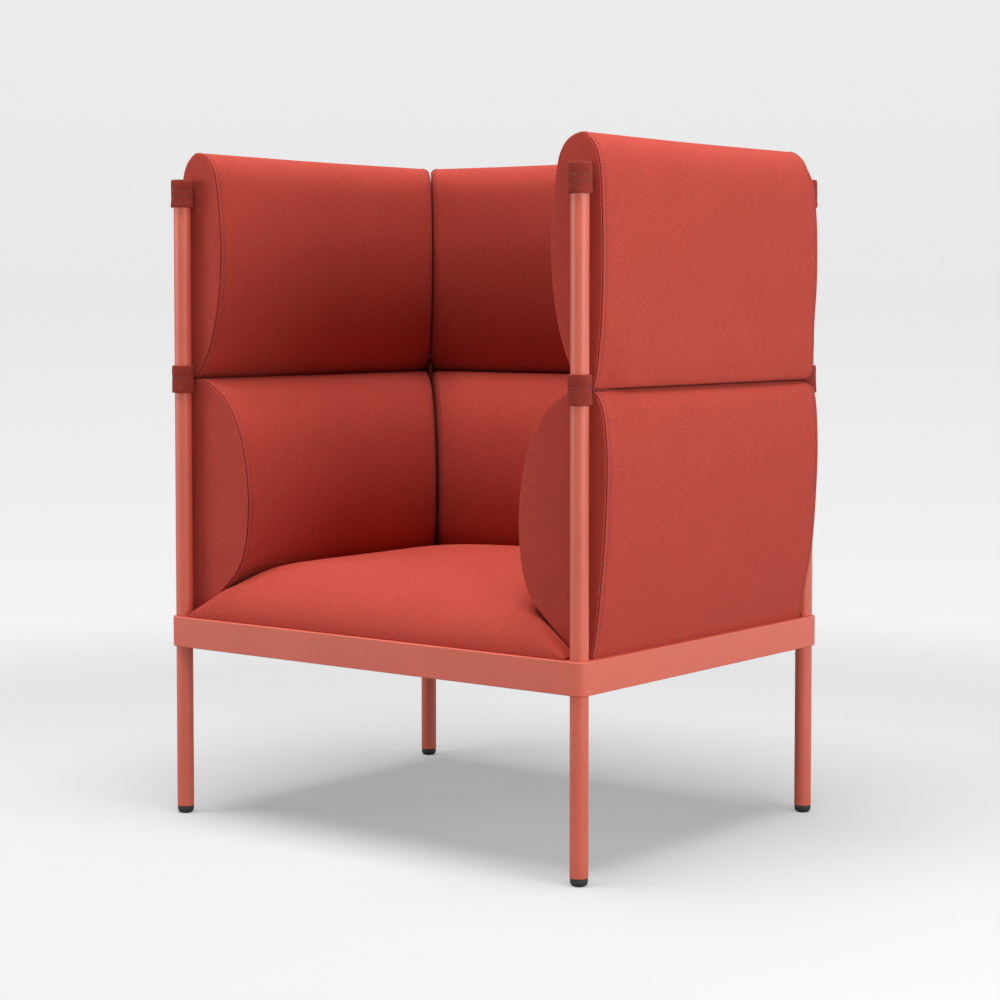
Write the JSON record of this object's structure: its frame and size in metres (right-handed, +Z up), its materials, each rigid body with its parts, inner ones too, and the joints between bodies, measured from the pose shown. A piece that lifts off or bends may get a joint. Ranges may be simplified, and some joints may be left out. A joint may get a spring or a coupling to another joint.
{
  "type": "high back armchair",
  "caption": "Boxy high back armchair with a tube and rail frame on thin legs, a crowned seat and padded panels round the sides and back tied to the posts by fabric sleeves.",
  "frame": {"origin": "on the floor, under the middle of the whole chair, 9.6 mm behind the middle of the four posts", "axes": "+Z up, the chair faces -Y, +X to the right seen from the front"},
  "size_m": [0.9586, 0.7492, 1.1912],
  "materials": {
    "powder_coat": "matte",
    "cover_fabric": "matte",
    "sleeve_fabric": "matte",
    "foam": "matte",
    "plywood": "matte",
    "zinc_steel": "satin",
    "black_plastic": "matte"
  },
  "bodies": {
    "frame": {"back_lower_board": "plywood", "back_lower_cover": "cover_fabric", "back_lower_foam": "foam", "back_upper_board": "plywood", "back_upper_cover": "cover_fabric", "back_upper_foam": "foam", "corner_block_front_left": "powder_coat", "corner_block_front_right": "powder_coat", "corner_block_rear_left": "powder_coat", "corner_block_rear_right": "powder_coat", "corner_studs": "zinc_steel", "cross_bar_front": "powder_coat", "cross_bar_rear": "powder_coat", "left_lower_board": "plywood", "left_lower_cover": "cover_fabric", "left_lower_foam": "foam", "left_upper_board": "plywood", "left_upper_cover": "cover_fabric", "left_upper_foam": "foam", "leg_front_left": "powder_coat", "leg_front_right": "powder_coat", "leg_rear_left": "powder_coat", "leg_rear_right": "powder_coat", "panel_bolts": "zinc_steel", "post_front_left": "powder_coat", "post_front_right": "powder_coat", "post_rear_left": "powder_coat", "post_rear_right": "powder_coat", "post_top_plugs": "black_plastic", "rail_front": "powder_coat", "rail_left": "powder_coat", "rail_rear": "powder_coat", "rail_right": "powder_coat", "right_lower_board": "plywood", "right_lower_cover": "cover_fabric", "right_lower_foam": "foam", "right_upper_board": "plywood", "right_upper_cover": "cover_fabric", "right_upper_foam": "foam", "seat_board": "plywood", "seat_bolts": "zinc_steel", "seat_cover": "cover_fabric", "seat_foam": "foam", "sleeve_mid_front_left": "sleeve_fabric", "sleeve_mid_front_right": "sleeve_fabric", "sleeve_mid_rear_left": "sleeve_fabric", "sleeve_mid_rear_right": "sleeve_fabric", "sleeve_top_front_left": "sleeve_fabric", "sleeve_top_front_right": "sleeve_fabric", "sleeve_top_rear_left": "sleeve_fabric", "sleeve_top_rear_right": "sleeve_fabric", "tube_inserts": "zinc_steel"},
    "foot_front_left": {"foot_glide_front_left": "black_plastic", "foot_stud_front_left": "zinc_steel"},
    "foot_front_right": {"foot_glide_front_right": "black_plastic", "foot_stud_front_right": "zinc_steel"},
    "foot_rear_left": {"foot_glide_rear_left": "black_plastic", "foot_stud_rear_left": "zinc_steel"},
    "foot_rear_right": {"foot_glide_rear_right": "black_plastic", "foot_stud_rear_right": "zinc_steel"}
  },
  "joints": [
    {"name": "foot_front_left_level", "type": "slide", "parent": "frame", "child": "foot_front_left", "axis": [0, 0, -1], "range_m": [0, 0.01]},
    {"name": "foot_front_right_level", "type": "slide", "parent": "frame", "child": "foot_front_right", "axis": [0, 0, -1], "range_m": [0, 0.01]},
    {"name": "foot_rear_left_level", "type": "slide", "parent": "frame", "child": "foot_rear_left", "axis": [0, 0, -1], "range_m": [0, 0.01]},
    {"name": "foot_rear_right_level", "type": "slide", "parent": "frame", "child": "foot_rear_right", "axis": [0, 0, -1], "range_m": [0, 0.01]}
  ]
}
